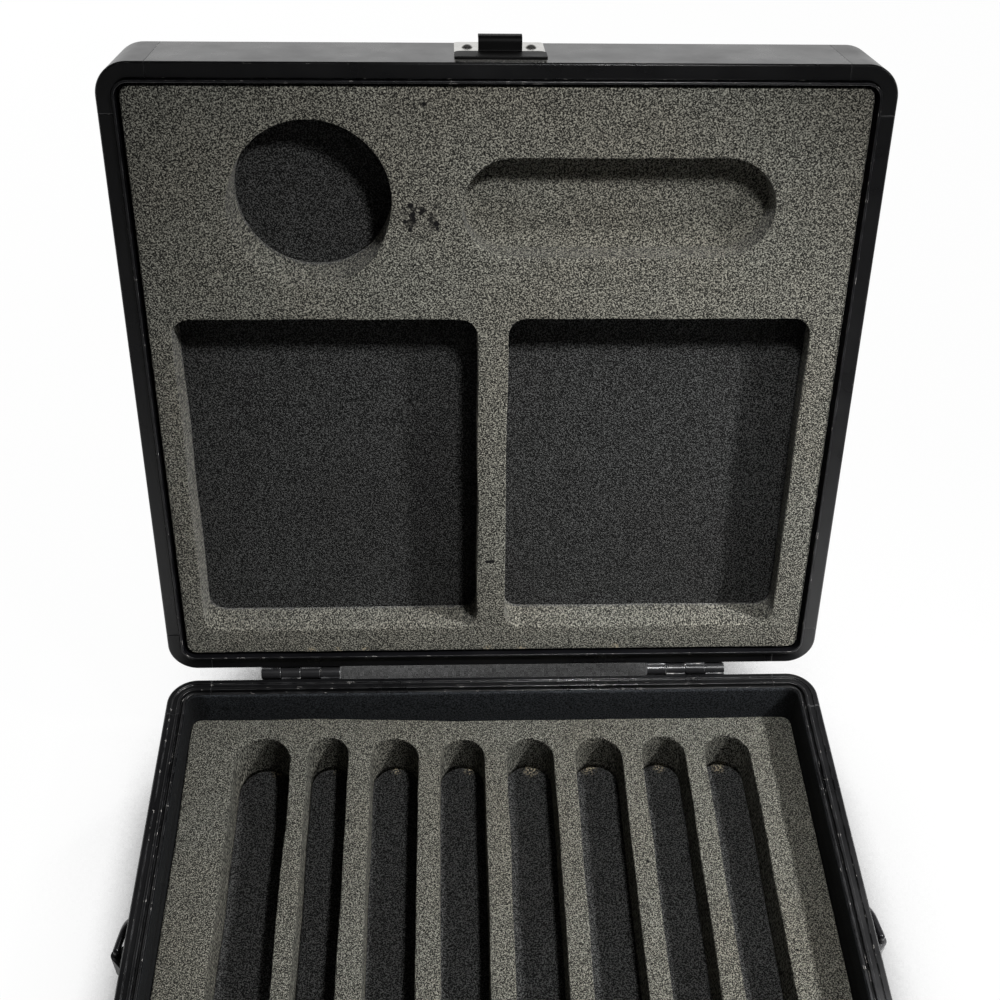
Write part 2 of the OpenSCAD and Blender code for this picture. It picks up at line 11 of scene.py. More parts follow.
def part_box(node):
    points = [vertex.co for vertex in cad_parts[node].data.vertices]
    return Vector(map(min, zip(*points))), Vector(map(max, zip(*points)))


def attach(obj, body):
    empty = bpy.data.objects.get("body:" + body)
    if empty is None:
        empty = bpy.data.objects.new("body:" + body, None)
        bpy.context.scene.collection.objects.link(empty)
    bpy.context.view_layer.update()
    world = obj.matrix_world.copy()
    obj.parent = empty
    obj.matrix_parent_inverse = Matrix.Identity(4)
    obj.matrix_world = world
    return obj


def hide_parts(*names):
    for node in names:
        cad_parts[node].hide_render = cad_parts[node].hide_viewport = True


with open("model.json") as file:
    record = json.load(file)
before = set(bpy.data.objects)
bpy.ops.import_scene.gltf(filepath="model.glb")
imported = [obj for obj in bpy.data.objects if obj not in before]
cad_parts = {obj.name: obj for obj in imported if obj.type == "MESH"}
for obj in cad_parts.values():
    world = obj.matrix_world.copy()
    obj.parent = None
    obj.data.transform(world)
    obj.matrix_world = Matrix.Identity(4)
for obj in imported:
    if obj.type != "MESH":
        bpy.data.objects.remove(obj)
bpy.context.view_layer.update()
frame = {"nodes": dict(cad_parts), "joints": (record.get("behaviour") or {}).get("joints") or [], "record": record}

MM = 0.001

# Places taken from the frame
lid_hinge = next(j for j in frame["joints"] if j["name"] == "lid_hinge")
HINGE_Y, HINGE_Z = lid_hinge["pos_m"][1:]
OPEN_ANGLE = -math.radians(lid_hinge["range_deg"][0])
BASE_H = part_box("base_rail_front")[1].z
RIM_GAP = 2 * (HINGE_Z - BASE_H)
CASE_HALF_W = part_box("base_rail_right")[1].x
CASE_HALF_D = -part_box("base_rail_front")[0].y

# Both halves are built with the rim at z = 0, the depth below it and the hinge wall at +Y
PLACE_BASE = Matrix.Translation((0, 0, BASE_H))
PLACE_LID = (
    Matrix.Translation((0, HINGE_Y, HINGE_Z))
    @ Matrix.Rotation(-OPEN_ANGLE, 4, "X")
    @ Matrix.Translation((0, -HINGE_Y, RIM_GAP / 2))
    @ Matrix.Scale(-1, 4, (0, 0, 1))
)

# Walls and foam, as the case has them
CORNER_R = 14 * MM
RIM_W = 9.4 * MM
RIM_HEAD_H = 9 * MM
LINING_T = 0.8 * MM
PANEL_FULL_T = 4.4 * MM
FIT_GAP = 0.2 * MM
FOAM_IN = RIM_W + FIT_GAP / 2
LID_H = 40 * MM
BASE_FOAM_TOP = -24 * MM
BASE_FOAM_T = 26 * MM
LID_FOAM_T = 20 * MM
SLOT_COUNT = 8
SLOT_PITCH = 33.5 * MM
SLOT_W = 23.5 * MM
SLOT_MARGIN = 12 * MM
SLOT_SHIFT = 2 * MM
TRAY_W = 136.3 * MM
TRAY_L = 166.7 * MM
TRAY_R = 8 * MM
TRAY_WEB = 13.9 * MM
TRAY_MARGIN = 14.2 * MM
TRAY_SHIFT = -2.1 * MM
ROUND_R = 34.4 * MM
ROUND_X = -80.3 * MM
ROUND_IN = 234.9 * MM
LONG_L = 135.1 * MM
LONG_W = 43.9 * MM
LONG_H = 17.5 * MM
LONG_X = 51.5 * MM
LONG_IN = 231.3 * MM
LIP = 0.7 * MM

# Sizes of the foam meshes' faces
STEP = 2.4 * MM
WALL_STEP = 3 * MM
FACE_GRID = 4 * MM
FLOOR_GRID = 5 * MM
BACK_GRID = 16 * MM
LIP_STEPS = 4

# How far the cut surfaces stray from smooth ones
LIP_ROUGH = 0.10 * MM
WALL_ROUGH = 0.16 * MM
FLOOR_ROUGH = 0.2 * MM


# Camera
def make_camera():
    data = bpy.data.cameras.new("camera")
    data.lens = 49.19
    data.sensor_width = 36
    data.clip_start = 0.01
    data.clip_end = 50
    camera = bpy.data.objects.new("camera", data)
    camera.location = (-0.02197, -0.28940, 0.61468)
    camera.rotation_euler = Euler([math.radians(a) for a in (45.824, -1.163, -1.785)])
    bpy.context.scene.collection.objects.link(camera)
    bpy.context.scene.camera = camera


make_camera()


# Material building
class Finish:
    """A node material: a Principled shader and short ways to add textures to it."""

    def __init__(self, name, color, roughness, metallic=0.0):
        self.material = bpy.data.materials.new(name)
        self.material.use_nodes = True
        self.tree = self.material.node_tree
        self.shader = self.tree.nodes["Principled BSDF"]
        self.set("Base Color", (*color, 1))
        self.set("Roughness", roughness)
        self.set("Metallic", metallic)
        self.coordinates = self.tree.nodes.new("ShaderNodeTexCoord").outputs["Object"]

    def set(self, socket, value):
        self.shader.inputs[socket].default_value = value

    def link(self, output, node_input):
        self.tree.links.new(output, node_input)

    def feed(self, socket, output):
        self.link(output, self.shader.inputs[socket])

    def add(self, kind, values=None, **settings):
        """A new node with its settings, and its input sockets set or linked by name or number."""
        made = self.tree.nodes.new(kind)
        for key, value in settings.items():
            setattr(made, key, value)
        for key, value in (values or {}).items():
            if isinstance(value, bpy.types.NodeSocket):
                self.link(value, made.inputs[key])
            else:
                made.inputs[key].default_value = value
        return made

    def stretched(self, scale, turn=0.0, tilt=(0, 0, 0)):
        """The piece's own coordinates, turned about X, then scaled along each axis and tilted."""
        turned = self.add("ShaderNodeMapping", {"Vector": self.coordinates, "Rotation": (turn, 0, 0)})
        values = {"Vector": turned.outputs["Vector"], "Scale": scale, "Rotation": tilt}
        return self.add("ShaderNodeMapping", values).outputs["Vector"]

    def noise(self, scale, detail=2.0, roughness=0.5, vector=None):
        values = {
            "Vector": self.coordinates if vector is None else vector,
            "Scale": scale,
            "Detail": detail,
            "Roughness": roughness,
        }
        return self.add("ShaderNodeTexNoise", values).outputs["Fac"]

    def cells(self, scale, feature="F1", vector=None):
        values = {"Vector": self.coordinates if vector is None else vector, "Scale": scale}
        return self.add("ShaderNodeTexVoronoi", values, feature=feature).outputs["Distance"]

    def ramp(self, value, low, high, start=0.0, end=1.0):
        """value carried from low..high to start..end, clamped."""
        values = {"Value": value, "From Min": low, "From Max": high, "To Min": start, "To Max": end}
        return self.add("ShaderNodeMapRange", values).outputs["Result"]

    def math(self, operation, a, b):
        return self.add("ShaderNodeMath", {0: a, 1: b}, operation=operation).outputs["Value"]

    def mix(self, share, a, b):
        """Colour a where share is 0, colour b where it is 1. Either can be a socket."""
        made = self.add("ShaderNodeMix", data_type="RGBA")
        for key, value in {"Factor": share, "A": a, "B": b}.items():
            socket = next(s for s in made.inputs if s.name == key and s.enabled)
            if isinstance(value, bpy.types.NodeSocket):
                self.link(value, socket)
            else:
                socket.default_value = (*value, 1) if isinstance(value, tuple) else value
        return next(s for s in made.outputs if s.enabled)

    def bump(self, height, distance, strength=1.0, over=None):
        values = {"Height": height, "Distance": distance, "Strength": strength}
        if over is not None:
            values["Normal"] = over
        return self.add("ShaderNodeBump", values).outputs["Normal"]


def foam_finish(name, tones, grain, contrast, sheen, rise=0.0, tall=(1, 1), specks=(), crumbs=()):
    """Open-cell foam: dark pits between light cell walls, in slightly uneven tints.

    tones are the dark, light and warm colours.
    tall is how much longer the cells are through the sheet than along it: first in general, then on the walls
    that face left or right. rise is the turn about X that brings the sheet's thickness upright.
    specks are dark spots, dirt and the painted shade in a slit and a nick; crumbs are pale bits; both as (place,
    radius).
    The wide ones are broken into grit.
    """
    dark, light, warm = tones
    f = Finish(name, light, 0.95)
    cell = 1 / grain
    # Tilted, so that no face lies along the noise's own grid
    tilt = (0.5, 0.4, 0.3)
    general, on_sides = (f.stretched((1, 1, 1 / length), rise, tilt) for length in tall)
    facing = f.add("ShaderNodeNewGeometry").outputs["True Normal"]
    facing = f.math("ABSOLUTE", f.add("ShaderNodeSeparateXYZ", {"Vector": facing}).outputs["X"], 0)
    place_in_foam = f.mix(f.math("GREATER_THAN", facing, 0.7), general, on_sides)
    pits = f.noise(cell, detail=1, roughness=0.6, vector=place_in_foam)
    walls = f.cells(cell * 1.1, vector=place_in_foam)
    pit_level = 0.545
    half = 0.1 / contrast
    speck = f.ramp(pits, pit_level - half, pit_level + half)
    speck = f.math("ADD", speck, f.ramp(walls, 0.1, 0.7, 0.1, 0))
    patch = f.noise(16, detail=3)
    tint = f.mix(f.ramp(patch, 0.35, 0.65), light, warm)
    color = f.mix(speck, dark, tint)
    # Dark specks: dirt, and painted shade standing in for the shadow inside a slit and a nick in the foam
    dirt_and_slit_shade = (specks, 330, (0.006, 0.006, 0.006))
    pale = (crumbs, 900, (0.44, 0.38, 0.27))
    for spots, grit_size, tone in (dirt_and_slit_shade, pale):
        grit = f.ramp(f.noise(grit_size, detail=1), 0.52, 0.57)
        for place, radius in spots:
            offset = f.add("ShaderNodeVectorMath", {0: f.coordinates, 1: place}, operation="DISTANCE")
            wide = radius > 2 * MM
            near = f.ramp(offset.outputs["Value"], radius, radius * (0.3 if wide else 0.65))
            if wide:
                near = f.math("MULTIPLY", near, grit)
            color = f.mix(near, color, tone)
    f.feed("Base Color", color)
    f.set("Specular IOR Level", 0.15)
    f.set("Sheen Weight", sheen)
    f.set("Sheen Roughness", 0.45)
    f.feed("Normal", f.bump(speck, grain * 0.45, 0.8))
    return f.material


def metal_paint(name, color, roughness, grain=0.0, scratches=0.0, gloss=0.5, wear_and_highlight=0.0):
    """Black coated metal: soft edges, faint orange peel and uneven gloss.

    grain adds lines along the rails, scratches adds fine scratches, and the last argument lightens the edges with
    painted highlights and adds bright chips, partly bare metal and partly painted glints.
    """
    f = Finish(name, color, roughness)
    f.set("Specular IOR Level", gloss)
    edges = f.add("ShaderNodeBevel", {"Radius": 0.7 * MM}, samples=8).outputs["Normal"]
    plain = f.add("ShaderNodeNewGeometry").outputs["True Normal"]
    bend = f.add("ShaderNodeVectorMath", {0: edges, 1: plain}, operation="DOT_PRODUCT").outputs["Value"]
    cloud = f.noise(40, detail=4, roughness=0.6)
    f.feed("Roughness", f.ramp(cloud, 0.3, 0.7, roughness * 0.85, roughness * 1.2))
    height = f.noise(900, detail=2)
    if grain:
        lines = f.noise(60, detail=3, vector=f.stretched((6, 6, 60)))
        height = f.math("ADD", height, f.math("MULTIPLY", lines, grain))
    f.feed("Normal", f.bump(height, 0.02 * MM, 0.5, edges))
    light = tuple(min(1.0, c * 2 + 0.006) for c in color)
    if scratches:
        thin = f.noise(70, detail=5, roughness=0.7, vector=f.stretched((1, 9, 1)))
        coat = f.mix(f.ramp(thin, 0.68, 0.74, 0, scratches), color, light)
    else:
        coat = f.mix(f.ramp(cloud, 0.4, 0.8, 0, 0.25), color, light)
    if wear_and_highlight:
        # Painted highlights: lighter patches along the edges stand in for glints on rounded edges; the bright
        # chips are partly bare metal, partly painted glints
        edge = f.ramp(bend, 0.97, 0.80)
        painted_edge_highlight = f.math("MULTIPLY", edge, f.ramp(f.noise(180, detail=3), 0.42, 0.62, 0, wear_and_highlight))
        chips_and_painted_glints = f.math("MULTIPLY", edge, f.ramp(f.noise(320, detail=1), 0.66, 0.69))
        coat = f.mix(chips_and_painted_glints, f.mix(painted_edge_highlight, coat, (0.16, 0.16, 0.165)), (0.42, 0.40, 0.38))
    f.feed("Base Color", coat)
    return f.material


def bare_metal(name, color, roughness, brushed=(1, 1, 1)):
    """Plated or plain metal with fine rubbing marks."""
    f = Finish(name, color, roughness, metallic=1.0)
    rub = f.noise(500, detail=4, roughness=0.7, vector=f.stretched(brushed))
    stain = f.noise(120, detail=3)
    f.feed("Roughness", f.ramp(rub, 0.3, 0.7, roughness * 0.7, roughness * 1.4))
    dull = tuple(c * 0.72 for c in color)
    f.feed("Base Color", f.mix(f.ramp(stain, 0.45, 0.7, 0, 0.6), color, dull))
    f.feed("Normal", f.bump(rub, 0.01 * MM, 0.5))
    return f.material


def wood_finish():
    """Bare plywood with its layers in the edge."""
    f = Finish("plywood", (0.36, 0.24, 0.13), 0.7)
    rings = f.noise(30, detail=4, roughness=0.6, vector=f.stretched((1, 1, 14)))
    f.feed("Base Color", f.mix(f.ramp(rings, 0.35, 0.65), (0.42, 0.29, 0.17), (0.27, 0.17, 0.09)))
    f.feed("Normal", f.bump(rings, 0.1 * MM, 0.5))
    return f.material


def panel_finish():
    """Black sheet with a fine leather-like pebble."""
    f = Finish("pebbled_panel", (0.016, 0.016, 0.018), 0.5)
    pebble = f.cells(520, feature="SMOOTH_F1")
    broad = f.noise(25, detail=3)
    f.feed("Roughness", f.ramp(broad, 0.3, 0.7, 0.40, 0.52))
    f.feed("Base Color", f.mix(f.ramp(pebble, 0.1, 0.7), (0.028, 0.028, 0.030), (0.007, 0.007, 0.008)))
    f.feed("Normal", f.bump(pebble, 0.5 * MM, 0.9))
    return f.material


def lining_finish():
    """Dark coarse cloth with a slight blue cast, darkened along the side walls by painted shade."""
    f = Finish("lining_cloth", (0.010, 0.011, 0.013), 0.9)
    thread = 0.9 * MM
    tuft = 0.75 * MM
    values = {"Vector": f.coordinates, "Scale": 0.5 / thread}
    across = f.add("ShaderNodeTexWave", values, bands_direction="Z")
    along = f.add("ShaderNodeTexWave", values, bands_direction="X")
    weave = f.math("MULTIPLY", across.outputs["Fac"], along.outputs["Fac"])
    tufts = f.noise(1 / tuft, detail=1)
    height = f.math("ADD", f.math("MULTIPLY", weave, 0.25), tufts)
    cloth = f.mix(f.ramp(height, 0.42, 0.80), (0.003, 0.003, 0.004), (0.054, 0.060, 0.067))
    # Painted shade: the cloth is darkened on the side walls, towards the case's left and right
    side = f.add("ShaderNodeSeparateXYZ", {"Vector": f.coordinates}).outputs["X"]
    side = f.ramp(f.math("ABSOLUTE", side, 0), CASE_HALF_W - 20 * MM, CASE_HALF_W - 12 * MM)
    f.feed("Base Color", f.mix(f.math("MULTIPLY", side, 0.8), cloth, (0.002, 0.002, 0.002)))
    f.set("Specular IOR Level", 0.15)
    f.feed("Normal", f.bump(height, 0.2 * MM, 0.8))
    return f.material


def lid_place(x, from_hinge_edge):
    """A point on the face of the lid's foam, by x and its distance from the foam's hinge edge."""
    return PLACE_LID @ Vector((x, CASE_HALF_D - FOAM_IN - from_hinge_edge, 0))


def base_place(x, y, depth):
    """A point of the base, measured down from its rim."""
    return PLACE_BASE @ Vector((x, y, -depth))


def slot_x(i):
    return (i - (SLOT_COUNT - 1) / 2) * SLOT_PITCH + SLOT_SHIFT


# How far the left and right edges of each slot stray from even cuts, in mm
SLOT_STRAYS = [
    (-4.8, 0.0), (-1.2, -4.5), (-2.9, -2.7), (-1.4, -2.4), (-1.0, -0.5), (0.3, 0.8), (1.2, 0.0), (0.3, 0.0)
]

# Dirt, the painted shade in a slit and a nick of the foam, and crumbs, as places and radii
SLOT_END = CASE_HALF_D - FOAM_IN - SLOT_MARGIN
SLOT_FLOOR = BASE_FOAM_T - BASE_FOAM_TOP
LID_SPECKS = [(lid_place(-34 * MM, 228 * MM), 11 * MM)] + [
    (lid_place(x * MM, y * MM), radius * MM)
    for x, y, radius in (
        (-38, 233, 1.6), (-37, 229.2, 1.5), (-33.5, 229.8, 1.3), (-27, 225, 1.6), (-26.6, 223, 1.0),
        (-38.4, 222.5, 1.1), (-40.5, 226, 1.2), (-31.5, 276, 1.1),
        # Painted shade: this row of specks on the web between the trays stands in for the shadow inside a slit
        (-4, 53.5, 1.2), (-2.6, 53.4, 1.2), (-1.3, 53.6, 1.2),
    )
]
# Dirt, and at (-73, 82) painted shade standing in for the shadow inside a nick
BASE_SPECKS = [
    (base_place(x * MM, y * MM, -BASE_FOAM_TOP), 1.0 * MM) for x, y in ((-73, 82), (71.5, 57), (135, 10))
]
LID_CRUMBS = [(lid_place(x * MM, 1 * MM), 3 * MM) for x in (-93, -79, -66, -3, 14, 62)]
SLOT_CRUMBS = [
    (base_place(slot_x(i) + shift * MM, SLOT_END - 1 * MM, SLOT_FLOOR - 0.5 * MM), radius * MM)
    for i, (shift, radius) in enumerate(((2, 4), (0, 3), (-3, 3), (2, 4), (1, 6), (-2, 5), (2, 4), (0, 5)))
]
FINISHES = {
    # The edge wear on the rails, corners, tongue and hinges also paints highlights along their edges
    "rail_metal": metal_paint("rail_black", (0.003, 0.003, 0.0035), 0.29, grain=0.3, gloss=0.55, wear_and_highlight=0.35),
    "corner_metal": metal_paint("corner_black", (0.0035, 0.0035, 0.004), 0.32, gloss=0.55, wear_and_highlight=0.25),
    "tongue_metal": metal_paint("tongue_black", (0.004, 0.004, 0.005), 0.33, wear_and_highlight=0.4),
    "hinge_metal": metal_paint("hinge_black", (0.012, 0.012, 0.013), 0.24, gloss=0.9, wear_and_highlight=1.0),
    "black_metal": metal_paint("latch_black", (0.003, 0.003, 0.003), 0.45, gloss=0.1),
    "bracket_metal": metal_paint("bracket_black", (0.020, 0.020, 0.021), 0.4, scratches=0.5),
    "ring_metal": metal_paint("ring_black", (0.007, 0.007, 0.008), 0.25),
    "board_wood": wood_finish(),
    "panel_sheet": panel_finish(),
    "lining_cloth": lining_finish(),
    "pin_steel": bare_metal("pin_steel", (0.35, 0.35, 0.36), 0.35),
    "rivet_metal": bare_metal("rivet_steel", (0.42, 0.42, 0.42), 0.3),
    "nickel_metal": bare_metal("nickel_plate", (0.62, 0.61, 0.58), 0.22, brushed=(1, 1, 4)),
}
# The foams' dark, light and warm colours
LID_TONES = [(0.009, 0.009, 0.008), (0.348, 0.344, 0.294), (0.338, 0.322, 0.268)]
BASE_TONES = [(0.009, 0.009, 0.008), (0.257, 0.255, 0.219), (0.249, 0.240, 0.200)]
DARK_TONES = [(0.004, 0.004, 0.004), (0.096, 0.098, 0.096), (0.086, 0.086, 0.084)]
BASE_FOAM = foam_finish("grey_foam_base", BASE_TONES, 0.56 * MM, 1.04, 0.0, tall=(2, 4), specks=BASE_SPECKS)
LID_FOAM = foam_finish(
    "grey_foam_lid", LID_TONES, 0.68 * MM, 0.86, 0.1, rise=OPEN_ANGLE, tall=(1.8, 2.8),
    specks=LID_SPECKS, crumbs=LID_CRUMBS,
)
DARK_FOAM = foam_finish("charcoal_foam", DARK_TONES, 0.64 * MM, 1.15, 0.0, crumbs=SLOT_CRUMBS)


def dress_cad_nodes():
    """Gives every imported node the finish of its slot."""
    slots = {s["node"]: s["material_slot"] for s in frame["record"]["subparts"]}
    for name, node in frame["nodes"].items():
        finish = FINISHES.get(slots[name], DARK_FOAM)
        node.data.materials.clear()
        node.data.materials.append(finish)


dress_cad_nodes()


# Outlines, as lists of flat points running anticlockwise
def arc(center, radius, start, turn, step):
    count = max(3, round(abs(turn) * radius / step))
    return [
        center + radius * Vector((math.cos(start + turn * i / count), math.sin(start + turn * i / count)))
        for i in range(count)
    ]


def straight(a, b, step):
    count = max(1, round((b - a).length / step))
    return [a.lerp(b, i / count) for i in range(count)]


def rounded_rect(center, width, depth, radius, step):
    """A rectangle with round corners. Sides shorter than half a step are left out."""
    center = Vector(center)
    points = []
    quarter = math.pi / 2
    corners = [(1, 1), (-1, 1), (-1, -1), (1, -1)]
    for i, (sx, sy) in enumerate(corners):
        middle = center + Vector((sx * (width / 2 - radius), sy * (depth / 2 - radius)))
        bend = arc(middle, radius, i * quarter, quarter, step)
        nx, ny = corners[(i + 1) % 4]
        after = center + Vector((nx * (width / 2 - radius), ny * (depth / 2 - radius)))
        reach = radius * Vector((math.cos((i + 1) * quarter), math.sin((i + 1) * quarter)))
        bend_end = middle + reach
        side_end = after + reach
        points += bend
        if (side_end - bend_end).length > step / 2:
            points += straight(bend_end, side_end, step)
    return points


def stadium(center, length, width, step, upright=False):
    """A slot with round ends, longer than it is wide."""
    size = (width, length) if upright else (length, width)
    return rounded_rect(center, *size, width / 2 - 1e-6, step)


def normals_of(loop):
    """Unit vectors pointing out of an anticlockwise loop."""
    made = []
    for i in range(len(loop)):
        along = loop[(i + 1) % len(loop)] - loop[i - 1]
        made.append(Vector((along.y, -along.x)).normalized())
    return made


def wobble(point, size, amount, seed):
    """Smooth noise between about -amount and amount, that changes over the given size."""
    return amount * noise.noise(Vector(point) / size + Vector((seed * 7.3, seed * 3.1, seed)))


class FoamCut:
    """One closed cut through or into a sheet, or its outer edge.

    flare widens the cut at the face and undercut widens it at the floor, each on the side that it points to.
    """

    def __init__(
        self, loop, outer=False, depth=None, lip=LIP, cut_wave=0.0, seed=1, flare=(0, 0), undercut=(0, 0)
    ):
        facing = -1 if outer else 1
        self.depth = depth
        self.lip = lip
        self.seed = seed
        self.flare = Vector(flare)
        self.undercut = Vector(undercut)
        self.normals = [facing * n for n in normals_of(loop)]
        self.loop = [
            p + n * wobble((p.x, p.y, 0), 36 * MM, cut_wave, seed) for p, n in zip(loop, self.normals)
        ]


def smooth_share(value, low, high):
    """0 before low, 1 past high and smooth between."""
    share = min(1.0, max(0.0, (value - low) / (high - low)))
    return share * share * (3 - 2 * share)


def no_lift(p):
    return 0.0


def foam_sheet(name, cuts, top, thickness, place, swell=0.25 * MM, lift=no_lift):
    """A closed mesh of a foam sheet: soft lips round every cut, uneven walls and a slightly swelling face.

    lift says how much higher the face stands at a point.
    """
    mesh = bmesh.new()
    bottom = top - thickness

    def face_z(p):
        return top + wobble((p.x, p.y, 0), 24 * MM, swell, 5) - swell * 0.6 + lift(p)

    def ring(cut, inset, z_of, rough, sunk=0.0):
        """One loop of points. sunk goes from 0 at the face to 1 at the cut's floor."""
        made = []
        for p, n in zip(cut.loop, cut.normals):
            lean = (1 - sunk) * max(0.0, n.dot(cut.flare)) + sunk * max(0.0, n.dot(cut.undercut))
            spot = p + n * (inset + lean)
            z = z_of(spot)
            push = wobble((spot.x, spot.y, z), 5 * MM, rough, cut.seed)
            push += wobble((spot.x, spot.y, z), 1.8 * MM, rough / 2, 9)
            made.append(mesh.verts.new((*(spot + n * push), z)))
        return made

    def bridge(upper, lower):
        count = len(upper)
        for i in range(count):
            j = (i + 1) % count
            mesh.faces.new((upper[i], upper[j], lower[j], lower[i]))

    def fill(rings, z_of, spacing):
        """Closes the space inside the first ring and outside the others with triangles."""
        flat, verts, edges = [], [], []
        for r in rings:
            first = len(flat)
            flat += [Vector(v.co.xy) for v in r]
            verts += r
            edges += [(first + i, first + (i + 1) % len(r)) for i in range(len(r))]
        outline = [Vector(v.co.xy) for v in rings[0]]
        hole_lines = [[Vector(v.co.xy) for v in r] for r in rings[1:]]
        low = Vector((min(p.x for p in outline), min(p.y for p in outline)))
        high = Vector((max(p.x for p in outline), max(p.y for p in outline)))
        taken = {(round(p.x / spacing * 2), round(p.y / spacing * 2)) for p in flat}
        inside = []
        rows = int((high.y - low.y) / spacing)
        columns = int((high.x - low.x) / spacing)
        for row in range(1, rows):
            for column in range(1, columns):
                shift = 0.5 if row % 2 else 0.0
                p = low + spacing * Vector((column + shift, row))
                key = (round(p.x / spacing * 2), round(p.y / spacing * 2))
                if any((key[0] + i, key[1] + j) in taken for i in (-1, 0, 1) for j in (-1, 0, 1)):
                    continue
                inside.append(p)
        inside = [p for p in inside if within(p, outline) and not any(within(p, h) for h in hole_lines)]
        for p in inside:
            flat.append(p)
            verts.append(mesh.verts.new((p.x, p.y, z_of(p))))
        result = geometry.delaunay_2d_cdt(flat, edges, [], 0, 1e-7)
        origins = result[3]
        for face in result[2]:
            center = sum((result[0][k] for k in face), Vector((0, 0))) / 3
            if not within(center, outline) or any(within(center, h) for h in hole_lines):
                continue
            corners = [verts[origins[k][0]] for k in face]
            if len(set(corners)) == 3:
                mesh.faces.new(corners)

    top_rings, bottom_rings = [], []
    for cut in cuts:
        bends = [math.pi / 2 * i / LIP_STEPS for i in range(LIP_STEPS + 1)]
        rings = []
        for a in bends:
            inset = cut.lip * (1 - math.sin(a))
            drop = cut.lip * (1 - math.cos(a))
            rings.append(ring(cut, inset, lambda p, d=drop: face_z(p) - d, LIP_ROUGH if a else 0.0))
        through = cut.depth is None
        floor = bottom if through else top - cut.depth
        walls = max(2, round((top - cut.lip - floor) / WALL_STEP))
        for i in range(1, walls + 1):
            z = top - cut.lip + (floor - top + cut.lip) * i / walls
            rough = 0.0 if through and i == walls else WALL_ROUGH
            rings.append(ring(cut, 0, lambda p, z=z: z, rough, i / walls))
        for upper, lower in zip(rings, rings[1:]):
            bridge(upper, lower)
        top_rings.append(rings[0])
        if through:
            bottom_rings.append(rings[-1])
        else:
            def floor_z(p, z=floor):
                return z + wobble((p.x, p.y, 0), 9 * MM, FLOOR_ROUGH, 3)

            fill([rings[-1]], floor_z, FLOOR_GRID)
    fill(top_rings, face_z, FACE_GRID)
    fill(bottom_rings, lambda p: bottom, BACK_GRID)
    bmesh.ops.recalc_face_normals(mesh, faces=mesh.faces)
    return finish_mesh(name, mesh, place)


def within(p, loop):
    """Whether a flat point lies inside a closed loop."""
    inside = False
    x, y = p
    for i, a in enumerate(loop):
        b = loop[i - 1]
        if (a.y > y) != (b.y > y) and x < (b.x - a.x) * (y - a.y) / (b.y - a.y) + a.x:
            inside = not inside
    return inside


def finish_mesh(name, mesh, place):
    """Turns a bmesh drawn in half-case coordinates into an object in the row frame, smooth shaded."""
    mesh.transform(place)
    if place.determinant() < 0:
        bmesh.ops.reverse_faces(mesh, faces=mesh.faces)
    data = bpy.data.meshes.new(name)
    mesh.to_mesh(data)
    mesh.free()
    data.polygons.foreach_set("use_smooth", [True] * len(data.polygons))
    made = bpy.data.objects.new(name, data)
    bpy.context.scene.collection.objects.link(made)
    return made


def declare_foam(piece, node, body, finish):
    """Finishes a foam piece, hangs it on the body it rides on and hides the CAD node that it takes the place of.
    """
    piece.data.materials.append(finish)
    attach(piece, body)
    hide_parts(node)


# Foam
FOAM_W = 2 * (CASE_HALF_W - FOAM_IN)
FOAM_D = 2 * (CASE_HALF_D - FOAM_IN)
FOAM_R = CORNER_R - FOAM_IN


def foam_edge(lip):
    return FoamCut(rounded_rect((0, 0), FOAM_W, FOAM_D, FOAM_R, STEP), outer=True, lip=lip)


def base_foam_lift(p):
    """The insert was not pressed fully home in the back left corner."""
    to_the_left = smooth_share(-p.x, 15 * MM, 95 * MM)
    to_the_back = smooth_share(p.y, 80 * MM, 125 * MM)
    return 3.2 * MM * to_the_left * to_the_back


def make_base_foam():
    cuts = [foam_edge(1.0 * MM)]
    slot_l = FOAM_D - 2 * SLOT_MARGIN
    for i, (left, right) in enumerate(SLOT_STRAYS):
        middle = slot_x(i) + (left + right) / 2 * MM
        outline = stadium((middle, 0), slot_l, SLOT_W + (right - left) * MM, STEP, upright=True)
        cuts.append(FoamCut(outline, cut_wave=0.6 * MM, seed=i + 2))
    piece = foam_sheet(
        "base_foam_sheet", cuts, BASE_FOAM_TOP, BASE_FOAM_T, PLACE_BASE, swell=0.5 * MM, lift=base_foam_lift
    )
    declare_foam(piece, "base_foam_insert", "base", BASE_FOAM)
    floor_t = BASE_H - PANEL_FULL_T + BASE_FOAM_TOP - BASE_FOAM_T
    floor_top = BASE_FOAM_TOP - BASE_FOAM_T
    floor = foam_sheet("base_foam_bottom", [foam_edge(0.5 * MM)], floor_top, floor_t, PLACE_BASE)
    declare_foam(floor, "base_foam_floor", "base", DARK_FOAM)


